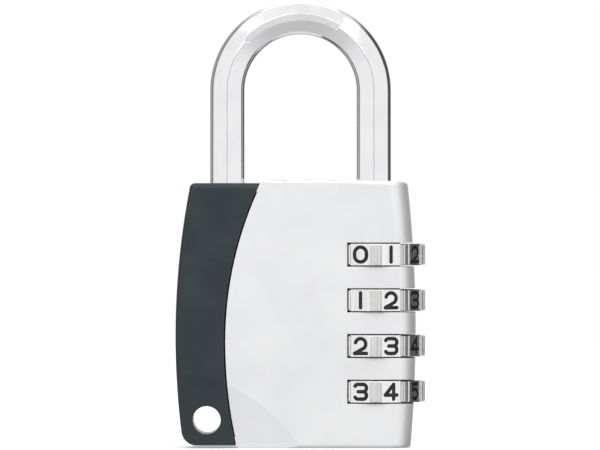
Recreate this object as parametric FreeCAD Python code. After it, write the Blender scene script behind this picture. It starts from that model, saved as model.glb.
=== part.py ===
import FreeCAD, Part
import math
import os

# A four-dial combination padlock. All sizes are in millimetres.
#
# Frame: X runs across the lock to the right, Y from the front face to the back, Z up.
# The origin is under the middle of the lock, on the plane it stands on. The long leg of
# the shackle is on the right and runs down through the dials. The short leg, the toe, is
# on the left and drops into a plain socket.

Vector = FreeCAD.Vector
UP = Vector(0, 0, 1)
BACKWARDS = Vector(0, 1, 0)
FORWARDS = Vector(0, -1, 0)

# Overall sizes
top_block_height = 9.42       # casting above the sleeves, to the left end of its top
body_thickness = 16.6         # front face to back face
leg_spacing = 26.3            # axis of one shackle leg to the axis of the other
shackle_reach = 32.1          # top of the body to the outer crown of the shackle

# Casting outline, seen from the front
right_face_reach = 7.49       # dial axis to the fullest part of the right face
right_bulge_height = 21.0
right_bulge_radius = 240.0
shoulder_drop = 0.55          # the top is this much lower at its right end
crown_rise = 0.17             # and this much fuller than a straight line at its middle
shoulder_radius = 1.0         # top right corner
flank_radius = 3.75           # rounding of the long right edges
casting_edge_radius = 0.7     # rounding round the top and round the foot

# Seam between casting and side cover: two arcs that meet at its leftmost point
seam_reach = 0.31             # toe axis to the leftmost point of the seam
seam_height = 19.0
seam_upper_radius = 65.7
seam_lower_radius = 82.6
seam_gap = 0.28

# Side cover
left_face_reach = 9.22        # toe axis to the fullest part of the left face
left_bulge_height = 20.0
left_bulge_radius = 140.0
cover_top_step = 0.8          # the cover's top lies below the casting's
cover_foot_step = 0.45        # and its foot stays off the ground
cover_corner_radius = 2.8
cover_edge_radius = 1.0
cover_wall = 1.5              # over the left, top and foot of the tongue
cover_face_wall = 3.0         # over the front and back of the tongue
cover_fit = 0.08              # clearance between the cover and the tongue inside it
tongue_corner_radius = 1.2
cover_pin_radius = 0.75
cover_pin_length = 7.2
cover_pin_heights = (17.0, 32.0)
cover_pin_reach = 4.2         # toe axis to the pins, to the left
pin_recess = 0.1              # every pin ends this far below the back face

# Scooped corner and the hole for a lanyard
lanyard_radius = 2.5
lanyard_reach = 3.65          # toe axis to the hole, to the left
lanyard_height = 5.0
scoop_radius = 28.0           # the scoop is turned about an axis below the left corner
scoop_axis_reach = 10.55      # toe axis to that axis, to the left
scoop_axis_depth = 14.7       # and below the ground plane
scoop_floor_radius = 18.0     # inside this the floor is flat
scoop_floor_depth = 1.1
scoop_fullness = 0.75         # share of that depth already reached halfway in

# Shackle
bar_across_flats = 6.2
bar_ridge_radius = 0.35       # rounding of the front and back ridges
bar_side_radius = 1.3         # rounding of the other four corners
ridge_flat_depth = 0.35       # the front ridge is planed off along the top of the bow
ridge_flat_start = 61         # degrees round the bow, from the right, to its rounded ends
ridge_flat_end = 136
bar_end_chamfer = 0.8
toe_depth = 4.75              # toe below the cover's top when the lock is shut
core_radius = 2.2
lug_radius = 3.2
lug_width = 2.4
lug_height = 1.6
collar_height = 1.15
shackle_lift = 5.0

# Shackle bushes
bush_wall = 0.79
bush_clearance = 0.13         # round the corners of the bar
bush_recess = 0.35            # top of each bush below the face round it
long_bush_length = 5.55
toe_bush_length = 5.6
toe_socket_spare = 1.0        # room below the toe

# Stop pin, crosswise beside the long leg
stop_pin_radius = 1.0
stop_pin_length = 12.4
stop_pin_clearance = 0.15     # pin to core
stop_pin_floor = 0.4          # top of the bore to the underside of the pin
stop_gap = 0.05               # collar to pin at full lift
rest_gap = 0.1                # bar to pin when shut

# Dials
dial_count = 4
digit_count = 10
dial_radius = 9.35
dial_height = 3.85
dial_pitch = 8.17
lowest_dial_height = 10.1     # middle of the lowest dial above the ground
dial_end_clearance = 0.225
dial_side_clearance = 0.22
dial_rim_chamfer = 0.22
facet_distance = 8.85         # dial axis to the flat that carries a digit
facet_width = 3.76
dial_bore_radius = 5.5
flute_radius = 0.3            # fine grooves down each rib, for grip
flute_depth = 0.1
flute_angle = 3.2             # degrees from the middle of the rib to each groove
flat_lead = 2.0               # degrees that the flats are turned past the clutch teeth

# Digits, cut into the flats and filled with enamel
digit_depth = 0.2
enamel_depth = 0.15
stroke_width = 0.66
digit_half_width = 1.1        # to the middle of the outermost stroke
digit_half_height = 1.32
first_flat_angle = -108       # of the flat to the left of a window's middle, before the lead

# Shapes of the digits, as shares of their half width or half height
two_shoulder = 0.87           # radius of the 2's bow, of the half width
two_heel_angle = -60          # degrees where that bow runs into the slanting stroke
four_post = 0.45              # the 4's upright, right of the middle
four_bar = 0.45               # the 4's crossbar, below the middle
five_flag = 0.8               # right end of the 5's top stroke
five_spine = 0.6              # the 5's upright, left of the middle
loop_share = 0.66             # radius of the loop of a 5, 6 or 9, of the half height
spine_share = 0.7             # foot of the 5's upright above its loop's middle, of the loop
seven_foot = 0.2              # foot of the 7, left of the middle
eight_upper = 0.47            # radius of the 8's upper loop
six_sweep = 1.5               # radius of the tail of a 6 or 9, of the half height

# Splines between each dial and its sleeve
spline_height = 1.0
spline_end_clearance = 0.05
dial_tooth_width = 1.45
dial_tooth_tip = 4.9
sleeve_spline_width = 1.4
sleeve_spline_tip = 5.2

# Clutch sleeves and the bore they stand in
bore_radius = 5.4
sleeve_radius = 4.8
sleeve_chamber_radius = 3.5
sleeve_drop = 4.0             # middle of a dial down to the foot of its sleeve
sleeve_gap = 0.05             # sleeve to sleeve
lock_ring_foot = 0.5          # foot of a sleeve to the foot of its lock ring
lock_ring_height = 1.6
lock_ring_clearance = 0.2     # lock ring round the core
lug_gap = 0.3                 # lug below its lock ring when shut
slot_clearance = 0.2          # each side of a lug

# Reset washer, its spring and the plate that closes the bore
washer_radius = 5.2
washer_height = 0.8
spring_radius = 4.6
spring_wire_radius = 0.25
spring_turns = 2.5
plate_thickness = 1.5
plate_recess = 0.1
plate_tail_radius = 3.2
plate_screw_reach = 13.65     # dial axis to the screw, to the left
screw_head_radius = 1.9
screw_head_height = 1.0
screw_shank_radius = 1.0
screw_length = 6.0
screw_recess_radius = 0.6     # hexagon socket in the head, across its corners
screw_recess_depth = 0.7
screw_tip_spare = 0.3         # thread hole below the tip

# Detent spring, one leaf with a finger for each dial
leaf_thickness = 0.3
leaf_width = 4.0
leaf_distance = 10.1          # dial axis to the near face of the leaf
finger_width = 3.0
finger_half_height = 2.0
finger_tip_half = 0.3
finger_clearance = 0.08       # finger tip to the facet it rests on
leaf_end_margin = 2.0         # top finger to the top of the slot
leaf_slot_clearance = 0.15
leaf_slot_top_spare = 0.3
leaf_slot_depth = 2.0         # near face of the leaf to the right side of its slot

# Aids to modelling
beyond = 1.0                  # how far a cutter reaches past the surface it cuts
overlap = 0.3                 # how far a joined piece reaches into the one it grows from
touch = 0.01                  # places nearer than this count as the same

# Places that follow from the sizes above
half_thickness = body_thickness / 2
bar_corner = bar_across_flats / math.sqrt(3)
leg_bore_radius = bar_corner + bush_clearance
bush_radius = leg_bore_radius + bush_wall
dial_axis = leg_spacing / 2
toe_axis = -leg_spacing / 2
right_face = dial_axis + right_face_reach
left_face = toe_axis - left_face_reach
seam_left = toe_axis - seam_reach
tongue_half = half_thickness - cover_face_wall
dial_heights = [lowest_dial_height + dial_pitch * step for step in range(dial_count)]
sleeve_feet = [height - sleeve_drop for height in dial_heights]
stack_top = sleeve_feet[-1] + dial_pitch
body_height = stack_top + top_block_height
cover_top = body_height - cover_top_step
stop_pin_height = stack_top + stop_pin_floor + stop_pin_radius
bar_foot = stop_pin_height + stop_pin_radius + rest_gap
collar_top = stop_pin_height - stop_pin_radius - stop_gap - shackle_lift
arch_height = body_height + shackle_reach - leg_spacing / 2 - bar_across_flats / 2
lug_feet = [foot + lock_ring_foot - lug_gap - lug_height for foot in sleeve_feet]
plate_top = plate_recess + plate_thickness
washer_foot = sleeve_feet[0] - sleeve_gap - washer_height
leaf_face = dial_axis - leaf_distance
toe_foot = cover_top - toe_depth


def circle_x(centre_x, centre_z, radius, z, side):
    """X of a circle at height z, on its right (side 1) or left (side -1)."""
    return centre_x + side * math.sqrt(radius ** 2 - (z - centre_z) ** 2)


def right_face_x(z):
    return circle_x(right_face - right_bulge_radius, right_bulge_height, right_bulge_radius, z, 1)


def left_face_x(z, inset=0.0):
    centre = left_face + left_bulge_radius
    return circle_x(centre, left_bulge_height, left_bulge_radius - inset, z, -1)


def seam_x(z, gap=0.0):
    radius = seam_upper_radius if z > seam_height else seam_lower_radius
    return circle_x(seam_left + radius, seam_height, radius + gap, z, -1)


def front_point(x, z, y=None):
    return Vector(x, -half_thickness if y is None else y, z)


def line(start, end):
    return Part.LineSegment(start, end).toShape()


def arc(start, middle, end):
    return Part.Arc(start, middle, end).toShape()


def slab(edges, depth):
    """Solid from a closed outline on its front plane, pushed back by depth."""
    return Part.Face(Part.Wire(edges)).extrude(BACKWARDS * depth)


def cylinder(radius, foot, height, x=0.0, y=0.0):
    return Part.makeCylinder(radius, height, Vector(x, y, foot), UP)


def cross_cylinder(radius, x, z, front, back):
    return Part.makeCylinder(radius, back - front, Vector(x, front, z), BACKWARDS)


def box(x_range, y_range, z_range):
    corner = Vector(x_range[0], y_range[0], z_range[0])
    return Part.makeBox(x_range[1] - x_range[0], y_range[1] - y_range[0], z_range[1] - z_range[0], corner)


def middle_of(edge):
    return edge.valueAt((edge.FirstParameter + edge.LastParameter) / 2)


def edges_where(shape, test):
    return [edge for edge in shape.Edges if test(edge)]


def join(pieces):
    first = pieces[0]
    return first.multiFuse(pieces[1:]).removeSplitter()


def seam_edges(top, foot, gap):
    """The seam from top down to foot, as two arcs that meet where it is leftmost."""
    left = front_point(seam_left - gap, seam_height)
    upper_mid = (top + seam_height) / 2
    lower_mid = (foot + seam_height) / 2
    upper = arc(front_point(seam_x(top, gap), top), front_point(seam_x(upper_mid, gap), upper_mid), left)
    lower = arc(left, front_point(seam_x(lower_mid, gap), lower_mid), front_point(seam_x(foot, gap), foot))
    return [upper, lower]


def casting_block():
    """The silver half of the body, full thickness, with its edges rounded."""
    shoulder = body_height - shoulder_drop
    top_left = front_point(seam_x(body_height), body_height)
    top_right = front_point(right_face_x(shoulder), shoulder)
    foot_right = front_point(right_face_x(0), 0)
    foot_left = front_point(seam_x(0), 0)
    crown_middle = (top_left + top_right) * 0.5 + UP * crown_rise
    edges = seam_edges(body_height, 0, 0)
    edges.append(line(foot_left, foot_right))
    edges.append(arc(foot_right, front_point(right_face, right_bulge_height), top_right))
    edges.append(arc(top_right, crown_middle, top_left))
    sharp = slab(edges, body_thickness)

    def is_flank(edge):
        middle = middle_of(edge)
        return abs(abs(middle.y) - half_thickness) < touch and middle.x > dial_axis

    def is_rim(edge):
        middle = middle_of(edge)
        on_top = middle.z > cover_top
        on_foot = middle.z < touch
        return (on_top or on_foot) and middle.x > seam_x(middle.z) + beyond

    def is_shoulder(edge):
        middle = middle_of(edge)
        return abs(middle.y) < touch and middle.x > dial_axis and middle.z > shoulder - touch

    rounded = sharp.makeFillet(flank_radius, edges_where(sharp, is_flank))
    rounded = rounded.makeFillet(casting_edge_radius, edges_where(rounded, is_rim))
    softened = sharp.makeFillet(shoulder_radius, edges_where(sharp, is_shoulder))
    return rounded.cut(sharp.cut(softened))


def tongue(grow=0.0):
    """The thin part of the casting that fills the side cover, or its pocket when grown."""
    top = cover_top - cover_wall + grow
    foot = cover_foot_step + cover_wall - grow
    inset = cover_wall - grow
    right = seam_x(cover_top) + 2 * beyond
    y = -tongue_half - grow
    upper = front_point(left_face_x(top, inset), top, y)
    lower = front_point(left_face_x(foot, inset), foot, y)
    fullest = front_point(left_face + inset, left_bulge_height, y)
    edges = [
        arc(upper, fullest, lower),
        line(lower, front_point(right, foot, y)),
        line(front_point(right, foot, y), front_point(right, top, y)),
        line(front_point(right, top, y), upper),
    ]
    solid = slab(edges, 2 * (tongue_half + grow))
    corners = edges_where(solid, lambda e: abs(middle_of(e).y) < touch and middle_of(e).x < toe_axis)
    return solid.makeFillet(tongue_corner_radius, corners)


def scoop():
    """Cutter that thins the lower left corner, front and back."""
    axis_x = toe_axis - scoop_axis_reach
    axis_z = -scoop_axis_depth

    def at(radius, depth):
        return Vector(axis_x + radius, -half_thickness + depth, axis_z)

    outside = -3 * beyond
    mid_radius = (scoop_radius + scoop_floor_radius) / 2
    mid_depth = scoop_fullness * scoop_floor_depth
    rim = at(scoop_radius, 0)
    floor = at(scoop_floor_radius, scoop_floor_depth)
    edges = [
        arc(rim, at(mid_radius, mid_depth), floor),
        line(floor, at(beyond, scoop_floor_depth)),
        line(at(beyond, scoop_floor_depth), at(beyond, outside)),
        line(at(beyond, outside), at(scoop_radius, outside)),
        line(at(scoop_radius, outside), rim),
    ]
    front = Part.Face(Part.Wire(edges)).revolve(Vector(axis_x, 0, axis_z), BACKWARDS, 360)
    back = front.mirror(Vector(0, 0, 0), BACKWARDS)
    return [front, back]


def lanyard_cutter():
    x = toe_axis - lanyard_reach
    reach = half_thickness + beyond
    return cross_cylinder(lanyard_radius, x, lanyard_height, -reach, reach)


def cover_pins():
    """Two plain pins pressed in from the back, through the cover into the tongue."""
    back = half_thickness - pin_recess
    x = toe_axis - cover_pin_reach
    pins = [cross_cylinder(cover_pin_radius, x, z, back - cover_pin_length, back) for z in cover_pin_heights]
    return Part.makeCompound(pins)


def cover_pin_holes():
    back = half_thickness + beyond
    front = half_thickness - pin_recess - cover_pin_length
    x = toe_axis - cover_pin_reach
    return [cross_cylinder(cover_pin_radius, x, z, front, back) for z in cover_pin_heights]


def bush(x, foot, length):
    tube = cylinder(bush_radius, foot, length, x)
    return tube.cut(cylinder(leg_bore_radius, foot, length, x))


def toe_bush():
    top = cover_top - bush_recess
    return bush(toe_axis, top - toe_bush_length, toe_bush_length)


def long_leg_bush():
    top = top_face_height(dial_axis) - bush_recess
    return bush(dial_axis, top - long_bush_length, long_bush_length)


def top_face_height(x):
    """Height of the casting's crowned top at x, near enough for seating a bush."""
    left = seam_x(body_height)
    right = right_face_x(body_height - shoulder_drop)
    share = (x - left) / (right - left)
    return body_height - shoulder_drop * share + 4 * crown_rise * share * (1 - share)


def stop_pin():
    x = dial_axis - core_radius - stop_pin_clearance - stop_pin_radius
    back = half_thickness - pin_recess
    return cross_cylinder(stop_pin_radius, x, stop_pin_height, back - stop_pin_length, back)


def leaf_slot():
    """Channel beside the dials that holds the detent spring."""
    side = leaf_width / 2 + leaf_slot_clearance
    left = leaf_face - leaf_thickness - leaf_slot_clearance
    top = dial_heights[-1] + finger_half_height + leaf_end_margin
    return box((left, leaf_face + leaf_slot_depth), (-side, side), (plate_recess, top))


def plate_outline(foot, top):
    """Keyhole shape of the bottom plate: a disc in the bore and a rounded tail over the spring."""
    screw_x = dial_axis - plate_screw_reach
    disc = cylinder(bore_radius, foot, top - foot, dial_axis)
    tail = box((screw_x, dial_axis), (-plate_tail_radius, plate_tail_radius), (foot, top))
    end = cylinder(plate_tail_radius, foot, top - foot, screw_x)
    return join([disc, tail, end])


def dial_window(height):
    """Pocket for one dial, open at the front, the back and the whole right side."""
    depth = dial_height + 2 * dial_end_clearance
    foot = height - depth / 2
    disc = cylinder(dial_radius + dial_side_clearance, foot, depth, dial_axis)
    reach = half_thickness + beyond
    corners = box((right_face - flank_radius, right_face + beyond), (-reach, reach), (foot, foot + depth))
    return disc.fuse(corners)


def body_casting():
    solid = casting_block().fuse(tongue()).removeSplitter()
    cutters = scoop()
    cutters.append(lanyard_cutter())
    cutters.extend(cover_pin_holes())
    cutters.extend(dial_window(height) for height in dial_heights)
    cutters.append(cylinder(bore_radius, -beyond, stack_top + beyond, dial_axis))
    cutters.append(cylinder(leg_bore_radius, stack_top - beyond, body_height, dial_axis))
    bush_foot = top_face_height(dial_axis) - bush_recess - long_bush_length
    cutters.append(cylinder(bush_radius, bush_foot, body_height, dial_axis))
    toe_bush_foot = cover_top - bush_recess - toe_bush_length
    cutters.append(cylinder(bush_radius, toe_bush_foot, body_height, toe_axis))
    cutters.append(cylinder(leg_bore_radius, toe_foot - toe_socket_spare, body_height, toe_axis))
    pin_x = dial_axis - core_radius - stop_pin_clearance - stop_pin_radius
    pin_front = half_thickness - pin_recess - stop_pin_length
    pin_back = half_thickness + beyond
    cutters.append(cross_cylinder(stop_pin_radius, pin_x, stop_pin_height, pin_front, pin_back))
    cutters.append(leaf_slot())
    cutters.append(plate_outline(-beyond, plate_top))
    screw_x = dial_axis - plate_screw_reach
    cutters.append(cylinder(screw_shank_radius, 0, plate_recess + screw_length + screw_tip_spare, screw_x))
    return solid.cut(cutters)


def side_cover():
    """Dark shell that slides over the tongue from the left."""
    foot = cover_foot_step
    upper_left = front_point(left_face_x(cover_top), cover_top)
    lower_left = front_point(left_face_x(foot), foot)
    edges = seam_edges(cover_top, foot, seam_gap)
    edges.append(line(front_point(seam_x(foot, seam_gap), foot), lower_left))
    edges.append(arc(lower_left, front_point(left_face, left_bulge_height), upper_left))
    edges.append(line(upper_left, front_point(seam_x(cover_top, seam_gap), cover_top)))
    solid = slab(edges, body_thickness)

    def is_lower_corner(edge):
        middle = middle_of(edge)
        return abs(middle.y) < touch and middle.x < toe_axis and middle.z < foot + touch

    def is_outer_edge(edge):
        middle = middle_of(edge)
        return middle.x < seam_x(middle.z, seam_gap) - beyond and abs(middle.y) > touch

    def is_upper_corner(edge):
        middle = middle_of(edge)
        return abs(middle.y) < touch and middle.x < toe_axis and middle.z > cover_top - touch

    solid = solid.makeFillet(cover_corner_radius, edges_where(solid, is_lower_corner))
    outer = edges_where(solid, is_outer_edge) + edges_where(solid, is_upper_corner)
    solid = solid.makeFillet(cover_edge_radius, outer)
    cutters = [tongue(cover_fit), lanyard_cutter()]
    cutters.extend(scoop())
    cutters.extend(cover_pin_holes())
    cutters.append(cylinder(bush_radius, cover_top - bush_recess - toe_bush_length, body_height, toe_axis))
    return solid.cut(cutters)


def rounded_bar_outline(x, z):
    """Hexagon across X and Y at height z, with a ridge at the front and the back."""
    corners = []
    for step in range(6):
        angle = math.radians(90 + 60 * step)
        radius = bar_ridge_radius if step % 3 == 0 else bar_side_radius
        corners.append((Vector(x + bar_corner * math.cos(angle), bar_corner * math.sin(angle), z), radius))
    centre = Vector(x, 0, z)
    starts = []
    ends = []
    mids = []
    for index, (corner, radius) in enumerate(corners):
        before = corners[index - 1][0]
        after = corners[(index + 1) % 6][0]
        setback = radius * math.tan(math.radians(30))
        starts.append(corner + (before - corner).normalize() * setback)
        ends.append(corner + (after - corner).normalize() * setback)
        cut_back = radius * (1 / math.cos(math.radians(30)) - 1)
        mids.append(corner + (centre - corner).normalize() * cut_back)
    edges = []
    for index in range(6):
        edges.append(arc(starts[index], mids[index], ends[index]))
        edges.append(line(ends[index], starts[(index + 1) % 6]))
    return Part.Face(Part.Wire(edges))


def bar_leg(x, foot):
    """One straight leg of the bar, with its lower end chamfered."""
    leg = rounded_bar_outline(x, foot).extrude(UP * (arch_height - foot))
    narrow = bar_across_flats / 2 - bar_end_chamfer
    wide = bar_corner + beyond
    cone = Part.makeCone(narrow, wide, wide - narrow, Vector(x, 0, foot), UP)
    above = cylinder(wide, foot + wide - narrow, arch_height, x)
    return leg.common(cone.fuse(above))


def lug(foot):
    """One lug of the long leg. It points at the toe."""
    block = box((dial_axis - lug_radius, dial_axis),
                (-lug_width / 2, lug_width / 2), (foot, foot + lug_height))
    return block.common(cylinder(lug_radius, foot, lug_height, dial_axis))


def ridge_cutters():
    """Planes the front ridge away between two angles of the bow, and rounds the ends of the flat."""
    centre = Vector(0, 0, arch_height)
    near = -bar_corner + ridge_flat_depth
    far = near - bar_corner
    inner = leg_spacing / 2 - bar_across_flats
    outer = leg_spacing / 2 + bar_across_flats
    outline = [(inner, near), (outer, near), (outer, far), (inner, far)]
    corners = [Vector(x, y, arch_height) for x, y in outline]
    section = Part.Face(Part.makePolygon(corners + corners[:1]))
    section.rotate(centre, FORWARDS, ridge_flat_start)
    cutters = [section.revolve(centre, FORWARDS, ridge_flat_end - ridge_flat_start)]
    flat_half_width = ridge_flat_depth * math.tan(math.radians(60))
    for angle in (math.radians(ridge_flat_start), math.radians(ridge_flat_end)):
        x = leg_spacing / 2 * math.cos(angle)
        z = arch_height + leg_spacing / 2 * math.sin(angle)
        cutters.append(cross_cylinder(flat_half_width, x, z, far, near))
    return cutters


def shackle():
    arch = rounded_bar_outline(toe_axis, arch_height).revolve(Vector(0, 0, arch_height), BACKWARDS, 180)
    pieces = [arch, bar_leg(toe_axis, toe_foot), bar_leg(dial_axis, bar_foot)]
    pieces.append(cylinder(core_radius, lug_feet[0], bar_foot + beyond - lug_feet[0], dial_axis))
    pieces.append(cylinder(lug_radius, collar_top - collar_height, collar_height, dial_axis))
    pieces.extend(lug(foot) for foot in lug_feet)
    return join(pieces).cut(ridge_cutters())


def turned(piece, degrees):
    copy = piece.copy()
    copy.rotate(Vector(dial_axis, 0, 0), UP, degrees)
    return copy


def stroke(start, end, depth):
    """Straight stroke with round ends. Points are (right, up) on a flat that faces the front."""
    run_x = end[0] - start[0]
    run_z = end[1] - start[1]
    length = math.hypot(run_x, run_z)
    half = stroke_width / 2
    bar = Part.makeBox(length, depth, stroke_width, Vector(0, 0, -half))
    bar.rotate(Vector(0, 0, 0), FORWARDS, math.degrees(math.atan2(run_z, run_x)))
    bar.translate(Vector(start[0], 0, start[1]))
    return [bar, stroke_end(start, depth), stroke_end(end, depth)]


def stroke_end(point, depth):
    return Part.makeCylinder(stroke_width / 2, depth, Vector(point[0], 0, point[1]), BACKWARDS)


def bend(centre, radius, start, end, depth):
    """Round stroke from one angle to another, counted from the right and upwards."""
    middle = Vector(centre[0], 0, centre[1])
    half = stroke_width / 2
    wide = Part.makeCylinder(radius + half, depth, Vector(0, 0, 0), UP, end - start)
    narrow = Part.makeCylinder(radius - half, 3 * depth, Vector(0, 0, -depth), UP, 360)
    band = wide.cut(narrow)
    band.rotate(Vector(0, 0, 0), UP, start)
    band.rotate(Vector(0, 0, 0), Vector(1, 0, 0), 90)
    band.translate(middle + BACKWARDS * depth)
    pieces = [band]
    if end - start < 360:
        for angle in (math.radians(start), math.radians(end)):
            tip = (centre[0] + radius * math.cos(angle), centre[1] + radius * math.sin(angle))
            pieces.append(stroke_end(tip, depth))
    return pieces


def digit_strokes(digit, depth):
    """The strokes of one digit as solids, centred on the origin."""
    wide = digit_half_width
    high = digit_half_height
    bowl = high / 2

    def line_stroke(start, end):
        return stroke(start, end, depth)

    def round_stroke(centre, radius, start, end):
        return bend(centre, radius, start, end, depth)

    if digit == 0:
        side = high - wide
        return (round_stroke((0, side), wide, 0, 180) + round_stroke((0, -side), wide, 180, 360)
                + line_stroke((-wide, -side), (-wide, side)) + line_stroke((wide, -side), (wide, side)))
    if digit == 1:
        return line_stroke((0, -high), (0, high))
    if digit == 2:
        shoulder = two_shoulder * wide
        turn = math.radians(two_heel_angle)
        heel = (shoulder * math.cos(turn), high - shoulder + shoulder * math.sin(turn))
        return (round_stroke((0, high - shoulder), shoulder, two_heel_angle, 165)
                + line_stroke(heel, (-wide, -high)) + line_stroke((-wide, -high), (wide, -high)))
    if digit == 3:
        right = wide - bowl
        left = -right
        return (round_stroke((left, bowl), bowl, 90, 150) + line_stroke((left, high), (right, high))
                + round_stroke((right, bowl), bowl, -90, 90) + line_stroke((left, 0), (right, 0))
                + round_stroke((right, -bowl), bowl, -90, 90) + line_stroke((right, -high), (left, -high))
                + round_stroke((left, -bowl), bowl, 210, 270))
    if digit == 4:
        post = four_post * wide
        bar = -four_bar * high
        return (line_stroke((post, high), (-wide, bar)) + line_stroke((-wide, bar), (wide, bar))
                + line_stroke((post, high), (post, -high)))
    if digit == 5:
        belly = loop_share * high
        spine = -five_spine * wide
        return (line_stroke((five_flag * wide, high), (spine, high))
                + line_stroke((spine, high), (spine, belly - high + spine_share * belly))
                + round_stroke((0, belly - high), belly, -140, 135))
    if digit == 7:
        return (line_stroke((-wide, high), (wide, high))
                + line_stroke((wide, high), (-seven_foot * wide, -high)))
    if digit == 8:
        upper = eight_upper * high
        lower = high - upper
        return (round_stroke((0, high - upper), upper, 0, 360)
                + round_stroke((0, lower - high), lower, 0, 360))
    loop = loop_share * high
    sweep = six_sweep * high
    six = (round_stroke((0, loop - high), loop, 0, 360)
           + round_stroke((sweep - loop, loop - high), sweep, 120, 180))
    if digit == 9:
        for piece in six:
            piece.rotate(Vector(0, depth / 2, 0), BACKWARDS, 180)
    return six


def dial_digits(first_digit, height, depth, sink):
    """Ten digits round a dial, as one solid each. They start sink below the flats."""
    digits = []
    for digit in range(digit_count):
        mark = join(digit_strokes(digit, depth))
        mark.translate(Vector(dial_axis, sink - facet_distance, height))
        angle = first_flat_angle + flat_lead + 360 / digit_count * (digit - first_digit)
        digits.append(turned(mark, angle + 90))
    return digits


def dial(first_digit, height):
    """One dial, with a flat for each digit and clutch teeth at the top of its bore."""
    foot = height - dial_height / 2
    disc = cylinder(dial_radius, foot, dial_height, dial_axis)
    disc = disc.makeChamfer(dial_rim_chamfer, edges_where(disc, lambda e: e.Closed))
    step = 360 / digit_count
    flat = box((dial_axis - dial_radius - beyond, dial_axis - facet_distance),
               (-facet_width / 2, facet_width / 2), (foot - beyond, foot + dial_height + beyond))
    cutters = [turned(flat, step * index + flat_lead) for index in range(digit_count)]
    flute_distance = dial_radius - flute_depth + flute_radius
    flute = cylinder(flute_radius, foot - beyond, dial_height + 2 * beyond, dial_axis - flute_distance)
    for index in range(digit_count):
        middle = step * (index + 0.5) + flat_lead
        cutters.append(turned(flute, middle - flute_angle))
        cutters.append(turned(flute, middle + flute_angle))
    cutters.append(cylinder(dial_bore_radius, foot, dial_height, dial_axis))
    cutters.extend(dial_digits(first_digit, height, digit_depth + beyond, -beyond))
    ring = disc.cut(cutters)
    tooth = box((dial_axis - dial_bore_radius - overlap, dial_axis - dial_tooth_tip),
                (-dial_tooth_width / 2, dial_tooth_width / 2),
                (foot + dial_height - spline_height - spline_end_clearance, foot + dial_height))
    teeth = [turned(tooth, step * index) for index in range(digit_count)]
    return join([ring] + teeth)


def digit_enamel(first_digit, height):
    """Black enamel that fills the digits of one dial to just below its flats."""
    return Part.makeCompound(dial_digits(first_digit, height, enamel_depth, digit_depth - enamel_depth))


def clutch_sleeve(height):
    """Sleeve that turns with a dial. A slot in its lock ring lets the lug of the shackle past."""
    foot = height - sleeve_drop
    length = dial_pitch - sleeve_gap
    tube = cylinder(sleeve_radius, foot, length, dial_axis)
    tube = tube.cut(cylinder(sleeve_chamber_radius, foot, length, dial_axis))
    ring_foot = foot + lock_ring_foot
    lock_ring = cylinder(sleeve_chamber_radius + overlap, ring_foot, lock_ring_height, dial_axis)
    hole = cylinder(core_radius + lock_ring_clearance, ring_foot, lock_ring_height, dial_axis)
    slot_half = lug_width / 2 + slot_clearance
    slot = box((dial_axis - sleeve_chamber_radius, dial_axis), (-slot_half, slot_half),
               (ring_foot, ring_foot + lock_ring_height))
    lock_ring = lock_ring.cut([hole, slot])
    spline_top = height + dial_height / 2 - spline_end_clearance
    spline = box((dial_axis - sleeve_spline_tip, dial_axis - sleeve_radius + overlap),
                 (-sleeve_spline_width / 2, sleeve_spline_width / 2),
                 (spline_top - spline_height, spline_top))
    step = 360 / digit_count
    splines = [turned(spline, step * (index + 0.5)) for index in range(digit_count)]
    return join([tube, lock_ring] + splines)


def reset_washer():
    disc = cylinder(washer_radius, washer_foot, washer_height, dial_axis)
    return disc.cut(cylinder(sleeve_chamber_radius, washer_foot, washer_height, dial_axis))


def reset_spring():
    """Coil spring between the bottom plate and the washer."""
    foot = plate_top + spring_wire_radius
    height = washer_foot - plate_top - 2 * spring_wire_radius
    path = Part.makeHelix(height / spring_turns, height, spring_radius)
    section = Part.makeCircle(spring_wire_radius, Vector(spring_radius, 0, 0), BACKWARDS)
    coil = Part.Wire(path.Edges).makePipeShell([Part.Wire([section])], True, True)
    coil.translate(Vector(dial_axis, 0, foot))
    return coil


def detent_spring():
    """Leaf with one sprung finger for each dial, resting on the flat that faces it."""
    back_face = leaf_face - leaf_thickness
    top = dial_heights[-1] + finger_half_height + leaf_end_margin - leaf_slot_top_spare
    half = leaf_width / 2
    tip = dial_axis - facet_distance - finger_clearance
    leaf = box((back_face, leaf_face), (-half, half), (plate_top, top))
    pieces = []
    windows = []
    for height in dial_heights:
        reach = finger_half_height
        windows.append(box((back_face, leaf_face), (-finger_width / 2, finger_width / 2),
                           (height - reach, height + reach)))
        outline = [
            (leaf_face, reach), (tip, finger_tip_half), (tip, -finger_tip_half), (leaf_face, -reach),
            (back_face, -reach), (tip - leaf_thickness, -finger_tip_half),
            (tip - leaf_thickness, finger_tip_half), (back_face, reach),
        ]
        points = [Vector(x, -finger_width / 2, height + z) for x, z in outline]
        wire = Part.makePolygon(points + points[:1])
        pieces.append(Part.Face(wire).extrude(BACKWARDS * finger_width))
    return join([leaf.cut(windows)] + pieces)


def base_plate():
    plate = plate_outline(plate_recess, plate_top)
    screw_x = dial_axis - plate_screw_reach
    head = Part.makeCone(screw_head_radius, screw_shank_radius, screw_head_height,
                         Vector(screw_x, 0, plate_recess), UP)
    return plate.cut([head, cylinder(screw_shank_radius, plate_recess, plate_thickness, screw_x)])


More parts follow.
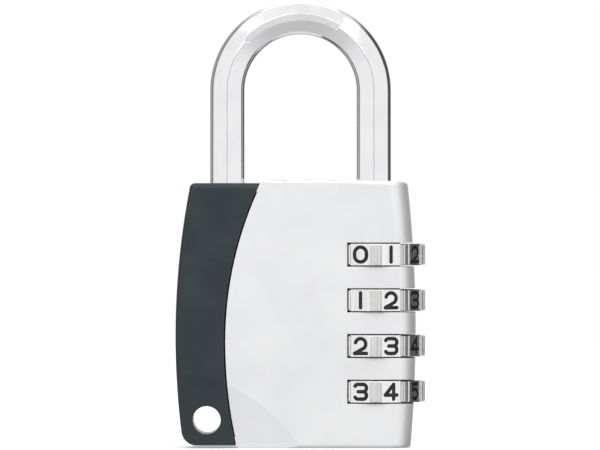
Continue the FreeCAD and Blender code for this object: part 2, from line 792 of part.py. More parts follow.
def base_screw():
    screw_x = dial_axis - plate_screw_reach
    head = Part.makeCone(screw_head_radius, screw_shank_radius, screw_head_height,
                         Vector(screw_x, 0, plate_recess), UP)
    shank = cylinder(screw_shank_radius, plate_recess, screw_length, screw_x)
    corners = [Vector(screw_x + screw_recess_radius * math.cos(math.radians(60 * step)),
                      screw_recess_radius * math.sin(math.radians(60 * step)), plate_recess)
               for step in range(6)]
    socket = Part.Face(Part.makePolygon(corners + corners[:1])).extrude(UP * screw_recess_depth)
    return head.fuse(shank).removeSplitter().cut(socket)


def all_nodes():
    nodes = {
        "body_casting": body_casting(),
        "side_cover": side_cover(),
        "cover_pins": cover_pins(),
        "shackle": shackle(),
        "long_leg_bush": long_leg_bush(),
        "toe_bush": toe_bush(),
        "stop_pin": stop_pin(),
        "detent_spring": detent_spring(),
        "reset_washer": reset_washer(),
        "reset_spring": reset_spring(),
        "base_plate": base_plate(),
        "base_screw": base_screw(),
    }
    for number, height in enumerate(reversed(dial_heights), start=1):
        nodes[f"dial_{number}"] = dial(number - 1, height)
        nodes[f"digit_enamel_{number}"] = digit_enamel(number - 1, height)
        nodes[f"clutch_sleeve_{number}"] = clutch_sleeve(height)
    return nodes


os.makedirs("parts", exist_ok=True)
for name, solid in all_nodes().items():
    solid.exportStep(f"parts/{name}.step")
    size = solid.BoundBox
    print(f"{name}: {len(solid.Solids)} solid(s), valid {solid.isValid()}, volume {solid.Volume:.1f}, "
          f"z {size.ZMin:.2f} to {size.ZMax:.2f}, x {size.XMin:.2f} to {size.XMax:.2f}")
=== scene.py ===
# %% [markdown]
# # A four-dial combination padlock
#
# This lesson dresses a finished mechanical model for a studio picture. The lock itself, with its
# casting, dials, sleeves and springs, comes in as a fixed frame of solid pieces, each already at its
# real size and place. Nothing here moves or resizes them. What is made here is the surface of every
# piece, the light and the camera.

# %% Load the frame
import math

import bpy
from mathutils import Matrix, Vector


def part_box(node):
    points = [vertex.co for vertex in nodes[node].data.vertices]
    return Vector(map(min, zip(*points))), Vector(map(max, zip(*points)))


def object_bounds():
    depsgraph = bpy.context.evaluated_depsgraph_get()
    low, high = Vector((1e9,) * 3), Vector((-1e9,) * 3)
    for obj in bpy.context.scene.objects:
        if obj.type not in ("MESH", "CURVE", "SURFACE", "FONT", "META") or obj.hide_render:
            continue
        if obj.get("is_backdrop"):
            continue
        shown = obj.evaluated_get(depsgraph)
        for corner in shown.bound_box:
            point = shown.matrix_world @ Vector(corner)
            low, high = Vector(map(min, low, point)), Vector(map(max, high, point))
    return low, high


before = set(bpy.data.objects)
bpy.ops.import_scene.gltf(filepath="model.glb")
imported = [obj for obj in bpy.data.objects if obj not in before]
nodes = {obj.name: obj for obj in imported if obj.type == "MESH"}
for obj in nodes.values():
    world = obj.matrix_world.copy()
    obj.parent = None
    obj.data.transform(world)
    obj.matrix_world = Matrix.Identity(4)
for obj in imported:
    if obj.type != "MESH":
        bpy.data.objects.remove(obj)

cad_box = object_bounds()
low, high = Vector(cad_box[0]), Vector(cad_box[1])
middle = (low + high) / 2
print("pieces in the frame:", len(nodes))
print("overall size in mm:", [round(1000 * side, 1) for side in high - low])

# %% [markdown]
# ## Landmarks of the lock
#
# Textures that follow a turned or brushed piece need to know where its axis is. These landmarks
# could be typed in, but they would drift if the lock changed. So they are read from the boxes
# of the pieces: each axis is the middle of the bush or the screw that sits on it.

# %% Landmarks
MM = 0.001    # one millimetre in metres


def centre_of(node):
    """Middle of a piece's box, in metres."""
    lowest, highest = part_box(node)
    return (lowest + highest) / 2


long_leg_axis = centre_of("long_leg_bush")
toe_axis = centre_of("toe_bush")
screw_axis = centre_of("base_screw")
print("long leg at x =", round(long_leg_axis.x / MM, 2), "mm, toe at x =", round(toe_axis.x / MM, 2), "mm")

# %% [markdown]
# ## Helpers for node trees
#
# A material is a small graph. Writing each node and each wire by hand would bury the recipe, so
# short helpers do the wiring: one adds a node and fills its inputs, three more do a sum, a smooth
# ramp and a blend of two colours, and one starts a shader node group. A group is a recipe with
# named inputs and outputs that several materials share, each with its own values.

# %% Node helpers
def add_node(tree, kind, inputs=None, **settings):
    """Adds a node. An input given as a socket is wired, and any other value is typed in."""
    node = tree.nodes.new(kind)
    for name, value in settings.items():
        setattr(node, name, value)
    for key, value in (inputs or {}).items():
        if isinstance(value, bpy.types.NodeSocket):
            tree.links.new(value, node.inputs[key])
        else:
            node.inputs[key].default_value = value
    return node


def calculate(tree, operation, first, second=0.0, clamp=False):
    """A Math node as one line. It returns the node's output."""
    node = add_node(tree, "ShaderNodeMath", {0: first, 1: second}, operation=operation, use_clamp=clamp)
    return node.outputs[0]


def ramp_between(tree, value, start, end, start_out=0.0, end_out=1.0):
    """Maps start..end smoothly to start_out..end_out."""
    node = add_node(tree, "ShaderNodeMapRange", {"Value": value, "From Min": start, "From Max": end,
                                                 "To Min": start_out, "To Max": end_out},
                    interpolation_type="SMOOTHSTEP")
    return node.outputs["Result"]


def mix_colours(tree, share, first, second):
    """Blends two colours. A share of 0 is all first, 1 is all second."""
    node = add_node(tree, "ShaderNodeMix", {0: share}, data_type="RGBA")
    for key, value in (("A_Color", first), ("B_Color", second)):
        socket = next(one for one in node.inputs if one.identifier == key)
        if isinstance(value, bpy.types.NodeSocket):
            tree.links.new(value, socket)
        else:
            socket.default_value = value
    return next(one for one in node.outputs if one.identifier == "Result_Color")


def start_group(name, inputs, outputs):
    """A new shader group. inputs are (name, default) and outputs are names, all plain numbers."""
    group = bpy.data.node_groups.new(name, "ShaderNodeTree")
    for label, default in inputs:
        socket = group.interface.new_socket(label, in_out="INPUT", socket_type="NodeSocketFloat")
        socket.default_value = default
    for label in outputs:
        group.interface.new_socket(label, in_out="OUTPUT", socket_type="NodeSocketFloat")
    entry = group.nodes.new("NodeGroupInput")
    leave = group.nodes.new("NodeGroupOutput")
    print("group", name, "takes", [label for label, _ in inputs], "and gives", outputs)
    return group, entry.outputs, leave.inputs


def use_group(tree, group, **values):
    """Places a group in a material. Spaces in input names are written as underscores."""
    node = tree.nodes.new("ShaderNodeGroup")
    node.node_tree = group
    for name, value in values.items():
        node.inputs[name.replace("_", " ")].default_value = value
    return node


def in_millimetres(tree):
    """Object coordinates in millimetres. They stay with the piece when a joint moves it."""
    in_metres = tree.nodes.new("ShaderNodeTexCoord").outputs["Object"]
    scaled = add_node(tree, "ShaderNodeVectorMath", {0: in_metres, 1: (1 / MM, 1 / MM, 1 / MM)},
                      operation="MULTIPLY")
    return scaled.outputs[0]


print("node helpers work in millimetres,", round(1 / MM), "to the metre")


# %% [markdown]
# ## Shared effect: grain
#
# Lacquer, moulded plastic and blasted metal all have a fine even grain. It could be an image, but
# an image has to be stretched over the shape. Noise in real millimetres has the same size on every
# piece. The group gives a height for the bump and a slow cloudiness that varies colour and gloss.

# %% Grain group
grain, grain_in, grain_out = start_group(
    "grain", [("Grains per mm", 4.0), ("Clouds per mm", 0.12)], ["Height", "Clouds"])
grain_place = in_millimetres(grain)
fine = add_node(grain, "ShaderNodeTexNoise", {"Vector": grain_place, "Scale": grain_in["Grains per mm"],
                                              "Detail": 3.0, "Roughness": 0.6})
slow = add_node(grain, "ShaderNodeTexNoise", {"Vector": grain_place, "Scale": grain_in["Clouds per mm"],
                                              "Detail": 4.0, "Roughness": 0.55})
grain.links.new(fine.outputs["Fac"], grain_out["Height"])
grain.links.new(ramp_between(grain, slow.outputs["Fac"], 0.3, 0.7), grain_out["Clouds"])

# %% [markdown]
# ## Shared effect: rubbed edges
#
# Handling polishes or scuffs the corners of a lock first. The wear could be painted by hand, but
# it has to follow every edge. The Bevel node gives the normal that a slightly rounded edge would
# have. Where it differs from the true normal there is an edge, and noise breaks the mask up.

# %% Rubbed edge group
rubbed, rubbed_in, rubbed_out = start_group(
    "rubbed_edges", [("Reach", 0.0003), ("Patches per mm", 0.8), ("Amount", 0.5)], ["Mask"])
round_normal = add_node(rubbed, "ShaderNodeBevel", {"Radius": rubbed_in["Reach"]}, samples=6)
true_normal = rubbed.nodes.new("ShaderNodeNewGeometry").outputs["Normal"]
likeness = add_node(rubbed, "ShaderNodeVectorMath", {0: round_normal.outputs[0], 1: true_normal},
                    operation="DOT_PRODUCT").outputs["Value"]
EDGE_LIKENESS = (0.995, 0.80)    # the two normals agree this well on a flat and on a full edge
KEPT_WEAR = 0.25                 # wear that is left between the patches
edge = ramp_between(rubbed, likeness, *EDGE_LIKENESS)
patches = add_node(rubbed, "ShaderNodeTexNoise", {"Vector": in_millimetres(rubbed),
                                                  "Scale": rubbed_in["Patches per mm"], "Detail": 5.0})
broken = ramp_between(rubbed, patches.outputs["Fac"], 0.42, 0.62)
strength = calculate(rubbed, "MULTIPLY", edge, rubbed_in["Amount"])
patchy = calculate(rubbed, "ADD", calculate(rubbed, "MULTIPLY", broken, 1 - KEPT_WEAR), KEPT_WEAR)
rubbed.links.new(calculate(rubbed, "MULTIPLY", strength, patchy, clamp=True), rubbed_out["Mask"])

# %% [markdown]
# ## Shared effect: hairline scratches
#
# Plated and painted metal picks up faint hairlines in every direction. Noise that is squeezed hard
# along one axis is a field of hairs, and three fields laid across each other look like chance. Only
# the crests are kept, so most of the surface stays clean.

# %% Hairline group
hairlines, hairlines_in, hairlines_out = start_group(
    "hairlines", [("Hairs per mm", 3.0), ("Share", 0.1)], ["Mask"])
HAIR_DIRECTIONS = (25, 70, 130)       # degrees
HAIR_STRETCH = (1.0, 0.03, 0.6)
HAIR_CREST = 0.80                     # noise above this, less the share, is a hair
HAIR_SHARPNESS = 12.0
hair_place = in_millimetres(hairlines)
fields = []
for degrees in HAIR_DIRECTIONS:
    turn = math.radians(degrees)
    turned = add_node(hairlines, "ShaderNodeMapping",
                      {"Vector": hair_place, "Rotation": (turn, turn / 2, turn), "Scale": HAIR_STRETCH})
    noise = add_node(hairlines, "ShaderNodeTexNoise", {"Vector": turned.outputs[0],
                                                       "Scale": hairlines_in["Hairs per mm"], "Detail": 2.0})
    fields.append(noise.outputs["Fac"])
strongest = fields[0]
for field in fields[1:]:
    strongest = calculate(hairlines, "MAXIMUM", strongest, field)
threshold = calculate(hairlines, "SUBTRACT", HAIR_CREST, hairlines_in["Share"])
above = calculate(hairlines, "SUBTRACT", strongest, threshold)
hair = calculate(hairlines, "MULTIPLY", above, HAIR_SHARPNESS, clamp=True)
hairlines.links.new(hair, hairlines_out["Mask"])

# %% [markdown]
# ## Shared effect: turning marks
#
# The sleeves, bushes and pins are turned on a lathe, which leaves fine rings round their axis. A ring
# depends only on the distance from the axis and the height, so only those two numbers go into the
# noise.

# %% Turning mark group
turning, turning_in, turning_out = start_group(
    "turning_marks", [("Axis x mm", 0.0), ("Axis y mm", 0.0), ("Marks per mm", 9.0)], ["Height"])
parts = add_node(turning, "ShaderNodeSeparateXYZ", {0: in_millimetres(turning)})
away_x = calculate(turning, "SUBTRACT", parts.outputs["X"], turning_in["Axis x mm"])
away_y = calculate(turning, "SUBTRACT", parts.outputs["Y"], turning_in["Axis y mm"])
squares = calculate(turning, "ADD", calculate(turning, "MULTIPLY", away_x, away_x),
                    calculate(turning, "MULTIPLY", away_y, away_y))
from_axis = calculate(turning, "SQRT", squares)
ring_place = add_node(turning, "ShaderNodeCombineXYZ", {"X": from_axis, "Y": parts.outputs["Z"]})
rings = add_node(turning, "ShaderNodeTexNoise", {"Vector": ring_place.outputs[0],
                                                 "Scale": turning_in["Marks per mm"], "Detail": 3.0})
turning.links.new(rings.outputs["Fac"], turning_out["Height"])

# %% [markdown]
# ## Shared effect: lines along the height
#
# The flats of the dials are milled from top to bottom, which leaves fine upright lines. A noise
# that is stretched hard along Z is exactly that: it changes quickly across the piece and hardly at
# all along it.

# %% Upright line group
upright, upright_in, upright_out = start_group(
    "upright_lines", [("Lines per mm", 5.0), ("Reach", 0.02)], ["Height"])
where = add_node(upright, "ShaderNodeSeparateXYZ", {0: in_millimetres(upright)})
slow_height = calculate(upright, "MULTIPLY", where.outputs["Z"], upright_in["Reach"])
stretched = add_node(upright, "ShaderNodeCombineXYZ", {"X": where.outputs["X"], "Y": where.outputs["Y"],
                                                       "Z": slow_height})
strokes = add_node(upright, "ShaderNodeTexNoise", {"Vector": stretched.outputs[0],
                                                   "Scale": upright_in["Lines per mm"], "Detail": 4.0})
upright.links.new(strokes.outputs["Fac"], upright_out["Height"])

# %% [markdown]
# ## Shared effect: painted gap shade
#
# The gaps round the dials and the seam are painted dark, standing in for the shade that falls in
# them. The Ambient Occlusion node says how closed in a point is within a short reach. Used as a
# mask, it darkens only the gaps, and it still fits when a dial turns or the shackle lifts.

# %% Painted gap shade group
gap_shade_group, gap_shade_in, gap_shade_out = start_group("painted_gap_shade", [("Reach", 0.0012)], ["Mask"])
GAP_OPENNESS = (0.62, 0.18)    # how open a point is where the painted shade starts and where it is full
openness = add_node(gap_shade_group, "ShaderNodeAmbientOcclusion", {"Distance": gap_shade_in["Reach"]}, samples=8)
# painted shade: this mask marks where the gaps are painted dark, as shade would make them
gap_shade_group.links.new(ramp_between(gap_shade_group, openness.outputs["AO"], *GAP_OPENNESS), gap_shade_out["Mask"])

# %% [markdown]
# ## Starting a finish
#
# Every finish ends in one Principled shader. Numbers that are the same all over the piece, such as
# the metallic share of a plating, are set on the shader itself. Only what varies over the surface is
# wired in, and the groups above supply that.

# %% Finish helpers
def start_finish(name, metallic, roughness):
    """A material with a Principled shader and nothing wired yet."""
    material = bpy.data.materials.new(name)
    material.use_nodes = True
    tree = material.node_tree
    shader = tree.nodes["Principled BSDF"]
    shader.inputs["Metallic"].default_value = metallic
    shader.inputs["Roughness"].default_value = roughness
    return material, tree, shader


def bump_from(tree, shader, height, depth_mm, normal=None):
    """Feeds a height into the shader's normal. Depth is in millimetres for a height of one."""
    inputs = {"Height": height, "Distance": depth_mm * MM, "Strength": 1.0}
    if normal is not None:
        inputs["Normal"] = normal
    bump = add_node(tree, "ShaderNodeBump", inputs)
    tree.links.new(bump.outputs["Normal"], shader.inputs["Normal"])


def soft_edge_normal(tree, radius_mm):
    """Normal of a surface whose sharp edges are very slightly rounded."""
    return add_node(tree, "ShaderNodeBevel", {"Radius": radius_mm * MM}, samples=6).outputs[0]


def show_finish(material):
    """Prints the size of a finish and hands the finish on."""
    print("finish", material.name, "has", len(material.node_tree.nodes), "nodes")
    return material


print("shared groups ready:", sorted(group.name for group in bpy.data.node_groups))


# %% [markdown]
# ## Satin silver lacquer
#
# The casting is zinc, blasted to a fine tooth and sprayed with metallic silver lacquer. It could be
# bare metal, but bare zinc is darker and streaky, and a lacquer is nearly white in soft light. The
# flakes make the reflections wide, so it is about half metallic with a high roughness.

# %% Satin silver
def make_satin_silver():
    cloud_dim, cloud_clear = (0.874, 0.878, 0.888, 1), (0.898, 0.901, 0.910, 1)
    flake, primer, gap_shade_colour = (0.77, 0.774, 0.784, 1), (0.66, 0.65, 0.63, 1), (0.012, 0.012, 0.013, 1)
    material, tree, shader = start_finish("satin_silver", metallic=0.55, roughness=0.46)
    texture = use_group(tree, grain, Grains_per_mm=5.0, Clouds_per_mm=0.10)
    wear = use_group(tree, rubbed, Reach=0.0004, Patches_per_mm=0.7, Amount=0.35)
    scratches = use_group(tree, hairlines, Hairs_per_mm=1.3, Share=0.05)
    clean = mix_colours(tree, texture.outputs["Clouds"], cloud_dim, cloud_clear)
    speckled = mix_colours(tree, calculate(tree, "MULTIPLY", texture.outputs["Height"], 0.25), clean, flake)
    worn = mix_colours(tree, wear.outputs["Mask"], speckled, primer)
    # painted shade: the near-black colour, mixed in by the occlusion mask, darkens the gaps as shade would
    gap_shade = use_group(tree, gap_shade_group, Reach=0.0012)
    tree.links.new(mix_colours(tree, gap_shade.outputs["Mask"], worn, gap_shade_colour), shader.inputs["Base Color"])
    gloss = calculate(tree, "SUBTRACT", ramp_between(tree, texture.outputs["Clouds"], 0, 1, 0.43, 0.50),
                      calculate(tree, "MULTIPLY", scratches.outputs["Mask"], 0.10))
    tree.links.new(gloss, shader.inputs["Roughness"])
    bump_from(tree, shader, texture.outputs["Height"], 0.012, soft_edge_normal(tree, 0.18))
    return material


satin_silver = show_finish(make_satin_silver())


# %% [markdown]
# ## Anthracite moulding
#
# The side cover is a dark moulding with a fine spark-eroded texture. A flat black would hide its
# shape. A dark blue grey with a wide, dim reflection shows the rounding, and its rubbed edges turn a
# little lighter and smoother.

# %% Anthracite
def make_anthracite():
    cloud_dim, cloud_clear = (0.026, 0.036, 0.040, 1), (0.032, 0.043, 0.047, 1)
    rubbed_tone, scuff, gap_shade_colour = (0.085, 0.095, 0.10, 1), (0.09, 0.10, 0.105, 1), (0.004, 0.004, 0.004, 1)
    material, tree, shader = start_finish("anthracite_shell", metallic=0.0, roughness=0.36)
    shader.inputs["Specular IOR Level"].default_value = 0.28
    texture = use_group(tree, grain, Grains_per_mm=7.0, Clouds_per_mm=0.15)
    wear = use_group(tree, rubbed, Reach=0.0005, Patches_per_mm=0.9, Amount=0.6)
    scratches = use_group(tree, hairlines, Hairs_per_mm=1.1, Share=0.06)
    clean = mix_colours(tree, texture.outputs["Clouds"], cloud_dim, cloud_clear)
    worn = mix_colours(tree, wear.outputs["Mask"], clean, rubbed_tone)
    scuffed = mix_colours(tree, calculate(tree, "MULTIPLY", scratches.outputs["Mask"], 0.4), worn, scuff)
    # painted shade: the near-black colour, mixed in by the occlusion mask, darkens the gaps as shade would
    gap_shade = use_group(tree, gap_shade_group, Reach=0.0008)
    tree.links.new(mix_colours(tree, gap_shade.outputs["Mask"], scuffed, gap_shade_colour), shader.inputs["Base Color"])
    dull = ramp_between(tree, texture.outputs["Clouds"], 0, 1, 0.33, 0.40)
    polish = calculate(tree, "MULTIPLY", wear.outputs["Mask"], 0.1)
    tree.links.new(calculate(tree, "SUBTRACT", dull, polish), shader.inputs["Roughness"])
    bump_from(tree, shader, texture.outputs["Height"], 0.012, soft_edge_normal(tree, 0.15))
    return material


anthracite = show_finish(make_anthracite())


# %% [markdown]
# ## Polished chrome
#
# The shackle is hardened steel, polished along its length and chrome plated. Chrome is all
# reflection, so its look is decided by the studio round it. The finish only adds what real plating
# has: a slight orange peel, faint hairlines and fingerprints that dull it in patches.

# %% Chrome
def make_chrome():
    cloud_dim, cloud_clear = (0.83, 0.825, 0.84, 1), (0.88, 0.875, 0.888, 1)
    material, tree, shader = start_finish("shackle_chrome", metallic=1.0, roughness=0.08)
    texture = use_group(tree, grain, Grains_per_mm=0.5, Clouds_per_mm=0.25)
    scratches = use_group(tree, hairlines, Hairs_per_mm=2.2, Share=0.05)
    tint = mix_colours(tree, texture.outputs["Clouds"], cloud_dim, cloud_clear)
    tree.links.new(tint, shader.inputs["Base Color"])
    smudged = ramp_between(tree, texture.outputs["Clouds"], 0.2, 1.0, 0.055, 0.12)
    scratched = calculate(tree, "MULTIPLY", scratches.outputs["Mask"], 0.12)
    tree.links.new(calculate(tree, "ADD", smudged, scratched), shader.inputs["Roughness"])
    bump_from(tree, shader, texture.outputs["Height"], 0.0025, soft_edge_normal(tree, 0.12))
    return material


chrome = show_finish(make_chrome())


# %% [markdown]
# ## Turned steel and brass
#
# Bushes, pins and sleeves are all turned metal with different colours and polish. One function makes
# them all, because only the colour, the gloss and the axis of the turning marks change. A bush or a
# pin is plain steel, and a sleeve is brass.

# %% Turned metals
def make_turned_metal(name, colour, dark_colour, roughness, axis, marks_per_mm, mark_depth_mm,
                      edge_radius_mm):
    gap_shade_colour = (0.012, 0.011, 0.010, 1)
    material, tree, shader = start_finish(name, metallic=1.0, roughness=roughness)
    texture = use_group(tree, grain, Grains_per_mm=3.0, Clouds_per_mm=0.35)
    lathe = use_group(tree, turning, Axis_x_mm=axis.x / MM, Axis_y_mm=axis.y / MM,
                      Marks_per_mm=marks_per_mm)
    scratches = use_group(tree, hairlines, Hairs_per_mm=2.5, Share=0.08)
    # painted shade: the near-black colour, mixed in by the occlusion mask, darkens the gaps as shade would
    gap_shade = use_group(tree, gap_shade_group, Reach=0.0015)
    tint = mix_colours(tree, texture.outputs["Clouds"], (*dark_colour, 1), (*colour, 1))
    tree.links.new(mix_colours(tree, gap_shade.outputs["Mask"], tint, gap_shade_colour), shader.inputs["Base Color"])
    uneven = ramp_between(tree, texture.outputs["Clouds"], 0, 1, roughness * 0.8, roughness * 1.25)
    scratched = calculate(tree, "MULTIPLY", scratches.outputs["Mask"], 0.15)
    tree.links.new(calculate(tree, "ADD", uneven, scratched), shader.inputs["Roughness"])
    bump_from(tree, shader, lathe.outputs["Height"], mark_depth_mm, soft_edge_normal(tree, edge_radius_mm))
    return material


bush_colours = {"colour": (0.60, 0.605, 0.61), "dark_colour": (0.50, 0.505, 0.51)}
bush_turning = {"roughness": 0.32, "marks_per_mm": 10.0, "mark_depth_mm": 0.008, "edge_radius_mm": 0.10}
pin_steel = show_finish(make_turned_metal(
    "pin_steel", colour=(0.66, 0.665, 0.67), dark_colour=(0.55, 0.555, 0.56), roughness=0.30,
    axis=screw_axis, marks_per_mm=10.0, mark_depth_mm=0.006, edge_radius_mm=0.08))
long_bush_steel = show_finish(make_turned_metal(
    "long_bush_steel", axis=long_leg_axis, **bush_colours, **bush_turning))
toe_bush_steel = show_finish(make_turned_metal(
    "toe_bush_steel", axis=toe_axis, **bush_colours, **bush_turning))
spring_steel = show_finish(make_turned_metal(
    "spring_steel", colour=(0.42, 0.43, 0.45), dark_colour=(0.33, 0.34, 0.36), roughness=0.30,
    axis=long_leg_axis, marks_per_mm=8.0, mark_depth_mm=0.004, edge_radius_mm=0.05))
sleeve_brass = show_finish(make_turned_metal(
    "sleeve_brass", colour=(0.80, 0.62, 0.30), dark_colour=(0.70, 0.52, 0.24), roughness=0.28,
    axis=long_leg_axis, marks_per_mm=9.0, mark_depth_mm=0.008, edge_radius_mm=0.08))


# %% [markdown]
# ## Dial nickel
#
# The dials are nickel plated over milled flats, so each flat shows fine upright lines that catch the
# light one by one. The lines go into the bump and, more weakly, into the colour and the gloss. The
# corners of the ribs are rubbed brightest by fingers.

# %% Nickel
def make_dial_nickel():
    line_dark, line_bright = (0.84, 0.84, 0.845, 1), (0.95, 0.948, 0.942, 1)
    tarnish, polished, gap_shade_colour = (0.80, 0.795, 0.78, 1), (0.92, 0.915, 0.905, 1), (0.015, 0.015, 0.015, 1)
    material, tree, shader = start_finish("dial_nickel", metallic=1.0, roughness=0.22)
    texture = use_group(tree, grain, Grains_per_mm=3.0, Clouds_per_mm=0.5)
    milled = use_group(tree, upright, Lines_per_mm=4.5, Reach=0.02)
    wear = use_group(tree, rubbed, Reach=0.00015, Patches_per_mm=1.5, Amount=0.8)
    # painted shade: the near-black colour, mixed in by the occlusion mask, darkens the gaps as shade would
    gap_shade = use_group(tree, gap_shade_group, Reach=0.0009)
    lines = ramp_between(tree, milled.outputs["Height"], 0.35, 0.62)
    lined = mix_colours(tree, lines, line_dark, line_bright)
    clouded = mix_colours(tree, calculate(tree, "MULTIPLY", texture.outputs["Clouds"], 0.3), lined, tarnish)
    bright = mix_colours(tree, wear.outputs["Mask"], clouded, polished)
    tree.links.new(mix_colours(tree, gap_shade.outputs["Mask"], bright, gap_shade_colour), shader.inputs["Base Color"])
    gloss = ramp_between(tree, milled.outputs["Height"], 0.3, 0.7, 0.30, 0.17)
    tree.links.new(gloss, shader.inputs["Roughness"])
    bump_from(tree, shader, milled.outputs["Height"], 0.0035, soft_edge_normal(tree, 0.05))
    return material


dial_nickel = show_finish(make_dial_nickel())


# %% [markdown]
# ## Digit enamel
#
# The digits are engraved and wiped full of black enamel, which dries slightly dished and glossy. It
# could be a decal, but here the enamel is a real solid in the recess, so it only needs a black that
# isn't perfectly even.

# %% Enamel
def make_enamel():
    cloud_dim, cloud_clear = (0.010, 0.010, 0.011, 1), (0.022, 0.022, 0.024, 1)
    material, tree, shader = start_finish("dial_ink", metallic=0.0, roughness=0.35)
    shader.inputs["Specular IOR Level"].default_value = 0.30
    texture = use_group(tree, grain, Grains_per_mm=4.0, Clouds_per_mm=0.8)
    ink = mix_colours(tree, texture.outputs["Clouds"], cloud_dim, cloud_clear)
    tree.links.new(ink, shader.inputs["Base Color"])
    gloss = ramp_between(tree, texture.outputs["Clouds"], 0, 1, 0.30, 0.45)
    tree.links.new(gloss, shader.inputs["Roughness"])
    bump_from(tree, shader, texture.outputs["Height"], 0.015)
    return material


digit_enamel = show_finish(make_enamel())


# %% [markdown]
# ## Dressing the pieces
#
# Each piece gets its finish by name. The list reads like a parts list, so a missing piece is easy to
# see, and the last line prints any piece that was forgotten.

# %% Finishes on pieces
DRESS = {
    "body_casting": satin_silver, "base_plate": satin_silver, "side_cover": anthracite,
    "shackle": chrome, "long_leg_bush": long_bush_steel, "toe_bush": toe_bush_steel,
    "cover_pins": pin_steel, "stop_pin": pin_steel, "base_screw": pin_steel, "reset_washer": pin_steel,
    "detent_spring": spring_steel, "reset_spring": spring_steel,
}
DIALS = 4
for number in range(1, DIALS + 1):
    DRESS[f"dial_{number}"] = dial_nickel
    DRESS[f"digit_enamel_{number}"] = digit_enamel
    DRESS[f"clutch_sleeve_{number}"] = sleeve_brass

for name, finish in DRESS.items():
    piece = nodes[name]
    for slot in piece.material_slots:
        slot.material = finish
    if not piece.material_slots:
        piece.data.materials.append(finish)
print("dressed", len(DRESS), "pieces, forgotten:", sorted(set(nodes) - set(DRESS)))

# %% [markdown]
# ## Floor
#
# The lock stands on a plain white floor. A small one would show its edge, so it is far wider than
# the lock. White paper would also throw so much light up that the undersides lose their shape. So
# the floor shows to the camera and takes the lock's shadow, but it lights and mirrors nothing, and
# the light from below is set in the world instead. A weak glow of its own keeps it white to its edge.

# %% Floor
FLOOR_SIDE = 2.4
FLOOR_DROP = 0.00005    # just under the lock, so that the two faces don't flicker
FLOOR_GLOW = 0.32
paper_dim, paper_clear = (0.93, 0.93, 0.93, 1), (0.95, 0.95, 0.95, 1)
bpy.ops.mesh.primitive_plane_add(size=FLOOR_SIDE, location=(0, 0, low.z - FLOOR_DROP))
floor = bpy.context.object
floor.name = "studio_floor"
paper, paper_tree, paper_shader = start_finish("white_paper", metallic=0.0, roughness=0.9)
paper_shader.inputs["Specular IOR Level"].default_value = 0.1
fibres = use_group(paper_tree, grain, Grains_per_mm=1.0, Clouds_per_mm=0.01)
paper_tree.links.new(mix_colours(paper_tree, fibres.outputs["Clouds"], paper_dim, paper_clear),
                     paper_shader.inputs["Base Color"])
paper_shader.inputs["Emission Color"].default_value = (1, 1, 1, 1)
paper_shader.inputs["Emission Strength"].default_value = FLOOR_GLOW
floor.data.materials.append(paper)
floor.visible_diffuse = False
floor.visible_glossy = False
floor.visible_shadow = False
floor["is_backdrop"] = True
print("floor", FLOOR_SIDE, "m wide")

# %% [markdown]
# ## World
#
# Chrome shows the room. A room that is white all round gives chrome with no form, so this one is
# white in front, behind and overhead, dark on its two sides, and dim below. The rounded corners of
# the shackle then draw thin dark lines along it, and a narrow bright strip on the left splits them
# in two. A card round the lens is a little dimmer than the wall, with a darker rim, and the front
# ridge of the shackle mirrors it as a fine line. Seen directly, the room is plain white.

# %% World
world = bpy.data.worlds.new("studio")
bpy.context.scene.world = world
world.use_nodes = True
sky = world.node_tree
sky.nodes.clear()
direction = sky.nodes.new("ShaderNodeTexCoord").outputs["Generated"]
along = add_node(sky, "ShaderNodeSeparateXYZ", {0: direction})
sideways = calculate(sky, "ABSOLUTE", along.outputs["X"])
forwards = calculate(sky, "MULTIPLY", along.outputs["Y"], -1.0)
from_front = calculate(sky, "ARCTAN2", sideways, forwards)
from_lens = calculate(sky, "ARCCOSINE", forwards)


def zone(start_degrees, end_degrees, start_light, end_light, angle=from_front):
    """Light that changes smoothly between two angles, counted round the lock from in front."""
    return ramp_between(sky, angle, math.radians(start_degrees), math.radians(end_degrees),
                        start_light, end_light)


def brighter(first, second):
    return calculate(sky, "MAXIMUM", first, second)


# Angles are in degrees and lights are linear. Each pair is (start, end).
CARD_ANGLES, CARD_LIGHTS = (6, 14), (0.82, 0.50)
OPENING_ANGLES, OPENING_LIGHTS = (20, 30), (0.0, 0.98)
FRONT_END_ANGLES = (62, 78)
BACK_ANGLES, BACK_LIGHTS = (132, 154), (0.0, 0.88)
STRIP_START_ANGLES, STRIP_END_ANGLES, STRIP_LIGHTS = (96, 101), (106, 111), (0.0, 0.75)
FADE_OUT = (1.0, 0.0)
SIDE_BLEND, SIDE_LIGHTS = 0.2, (0.26, 0.09)            # left side, right side
CEILING_HEIGHTS, CEILING_LIGHTS = (0.60, 0.85), (0.0, 0.80)
BELOW_HEIGHTS, BELOW_SHARES = (-0.85, -0.25), (0.62, 1.0)

lens_card = zone(*CARD_ANGLES, *CARD_LIGHTS, from_lens)
open_front = zone(*OPENING_ANGLES, *OPENING_LIGHTS, from_lens)
front_wall = calculate(sky, "MULTIPLY", brighter(lens_card, open_front), zone(*FRONT_END_ANGLES, *FADE_OUT))
back_wall = zone(*BACK_ANGLES, *BACK_LIGHTS)
dark_side = ramp_between(sky, along.outputs["X"], -SIDE_BLEND, SIDE_BLEND, *SIDE_LIGHTS)
left_only = ramp_between(sky, along.outputs["X"], 0.0, -SIDE_BLEND)
strip_start = zone(*STRIP_START_ANGLES, *STRIP_LIGHTS)
band = calculate(sky, "MULTIPLY", strip_start, zone(*STRIP_END_ANGLES, *FADE_OUT))
strip = calculate(sky, "MULTIPLY", band, left_only)
ceiling = ramp_between(sky, along.outputs["Z"], *CEILING_HEIGHTS, *CEILING_LIGHTS)
walls = brighter(brighter(front_wall, back_wall), brighter(dark_side, strip))
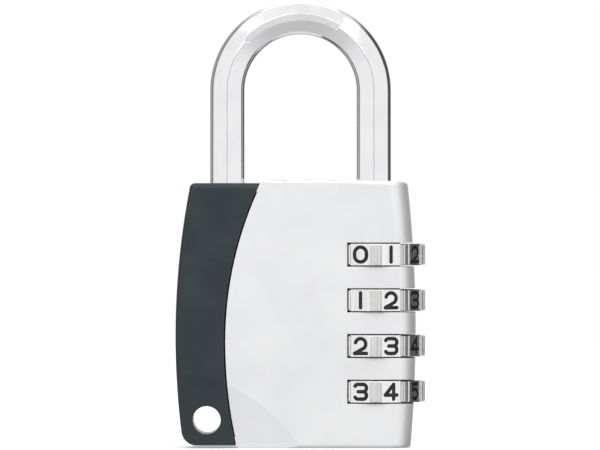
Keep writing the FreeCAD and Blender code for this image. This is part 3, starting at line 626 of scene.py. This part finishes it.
below = ramp_between(sky, along.outputs["Z"], *BELOW_HEIGHTS, *BELOW_SHARES)
room = calculate(sky, "MULTIPLY", brighter(walls, ceiling), below)
room_light = add_node(sky, "ShaderNodeBackground", {"Color": room, "Strength": 1.0})
white = add_node(sky, "ShaderNodeBackground", {"Color": (1, 1, 1, 1), "Strength": 1.0})
seen = sky.nodes.new("ShaderNodeLightPath").outputs["Is Camera Ray"]
mixed = add_node(sky, "ShaderNodeMixShader", {0: seen, 1: room_light.outputs[0], 2: white.outputs[0]})
add_node(sky, "ShaderNodeOutputWorld", {"Surface": mixed.outputs[0]})
print("the room is", len(sky.nodes), "nodes, its front", OPENING_LIGHTS[1], "and its back", BACK_LIGHTS[1])

# %% [markdown]
# ## Softboxes
#
# Wide soft lamps shape the even light of the room: a key from the upper left, a weaker one from the
# right, one overhead and one behind. A small lamp would burn a hard spot into the chrome. They don't
# show to the camera, but the lock reflects them.

# %% Lamps
def softbox(name, azimuth, elevation, distance, width, height, watts):
    """An area lamp that faces the lock. Azimuth 0 is in front, and 90 is to the right."""
    lamp = bpy.data.lights.new(name, "AREA")
    lamp.shape = "RECTANGLE"
    lamp.size = width
    lamp.size_y = height
    lamp.energy = watts
    holder = bpy.data.objects.new(name, lamp)
    bpy.context.scene.collection.objects.link(holder)
    turn, tilt = math.radians(azimuth), math.radians(elevation)
    away = Vector((math.sin(turn) * math.cos(tilt), -math.cos(turn) * math.cos(tilt), math.sin(tilt)))
    holder.location = middle + away * distance
    holder.rotation_euler = (-away).to_track_quat("-Z", "Y").to_euler()
    holder.visible_camera = False
    print(name, "at", [round(v, 2) for v in holder.location], "m,", watts, "W")


softbox("softbox_left", azimuth=-26, elevation=36, distance=1.0, width=0.65, height=0.50, watts=2.3)
softbox("softbox_right", azimuth=26, elevation=36, distance=1.0, width=0.65, height=0.50, watts=1.5)
softbox("softbox_top", azimuth=0, elevation=84, distance=1.0, width=0.9, height=0.7, watts=1.1)
softbox("softbox_back", azimuth=180, elevation=45, distance=1.3, width=1.0, height=0.7, watts=1.1)

# %% [markdown]
# ## Camera
#
# The lock is seen straight from the front and from well back, so that its sides barely converge
# and the lanyard hole shows as a clean disc. A picture from that far needs a long lens. Its length
# follows from the width to show at the front of the body and the distance from there.

# %% Camera
SENSOR_MM = 36.0
CAMERA_DISTANCE = 1.4     # from the front of the body
SHOWN_WIDTH = 0.1072      # at the front of the body
AIM_HEIGHT = 0.0399
AIM_X = -0.0001
VIEW_DEPTH = 20
front_of_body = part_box("body_casting")[0].y
view = bpy.data.cameras.new("studio_camera")
view.sensor_width = SENSOR_MM
view.lens = SENSOR_MM * CAMERA_DISTANCE / SHOWN_WIDTH
view.clip_end = VIEW_DEPTH
camera = bpy.data.objects.new("studio_camera", view)
bpy.context.scene.collection.objects.link(camera)
camera.location = (AIM_X, front_of_body - CAMERA_DISTANCE, AIM_HEIGHT)
camera.rotation_euler = (math.radians(90), 0, 0)
bpy.context.scene.camera = camera
bpy.context.scene.view_settings.view_transform = "Standard"
print("lens", round(view.lens), "mm at", CAMERA_DISTANCE, "m")

# %% [markdown]
# ## Sizes
#
# The finished picture model should stay as large as the mechanical one. The corners of the two
# boxes are compared and the gaps printed.

# %% Sizes
visual_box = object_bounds()
corner_gaps = [(Vector(cad) - Vector(visual)).length for cad, visual in zip(cad_box, visual_box)]
print("corners of the two boxes differ by, in mm:", [round(gap / MM, 3) for gap in corner_gaps])
